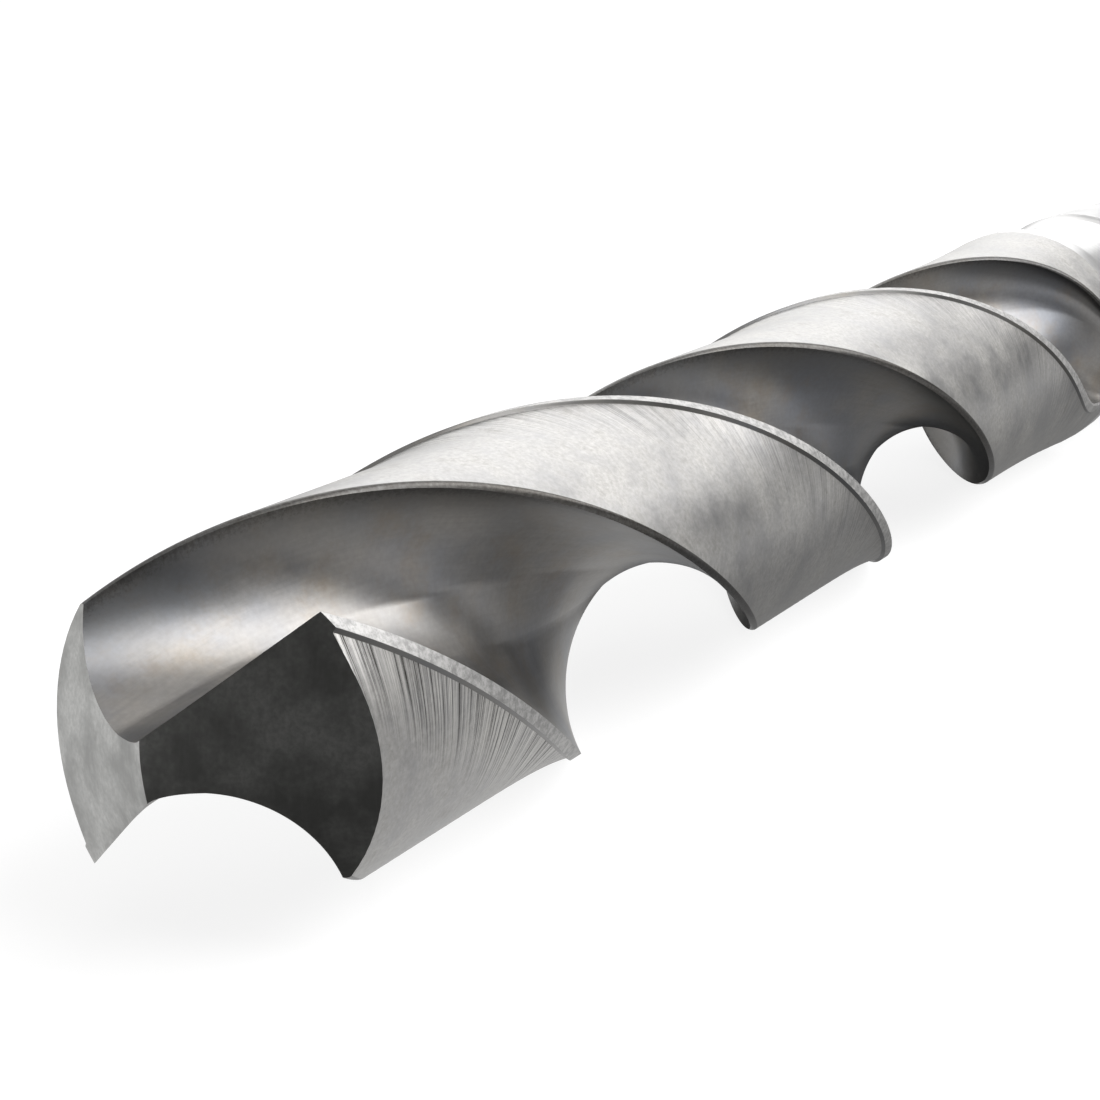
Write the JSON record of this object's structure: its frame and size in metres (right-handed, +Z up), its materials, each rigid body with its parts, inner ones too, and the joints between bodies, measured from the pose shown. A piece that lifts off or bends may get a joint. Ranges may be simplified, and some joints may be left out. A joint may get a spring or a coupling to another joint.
{
  "type": "taper shank drill bit",
  "caption": "Two-flute twist drill with a conical ground point, cleared lands, a plain neck and a taper shank with a tang.",
  "frame": {"origin": "on the drill's axis in the gauge plane of the taper shank", "axes": "+X along the drill's axis from the tang to the point, +Z up as the drill lies on a surface"},
  "size_m": [0.2812, 0.025, 0.025],
  "materials": {
    "tool_steel": "ground, satin in the flutes, matt on the flanks"
  },
  "bodies": {
    "root": {"drill_bit": "tool_steel"}
  },
  "joints": []
}
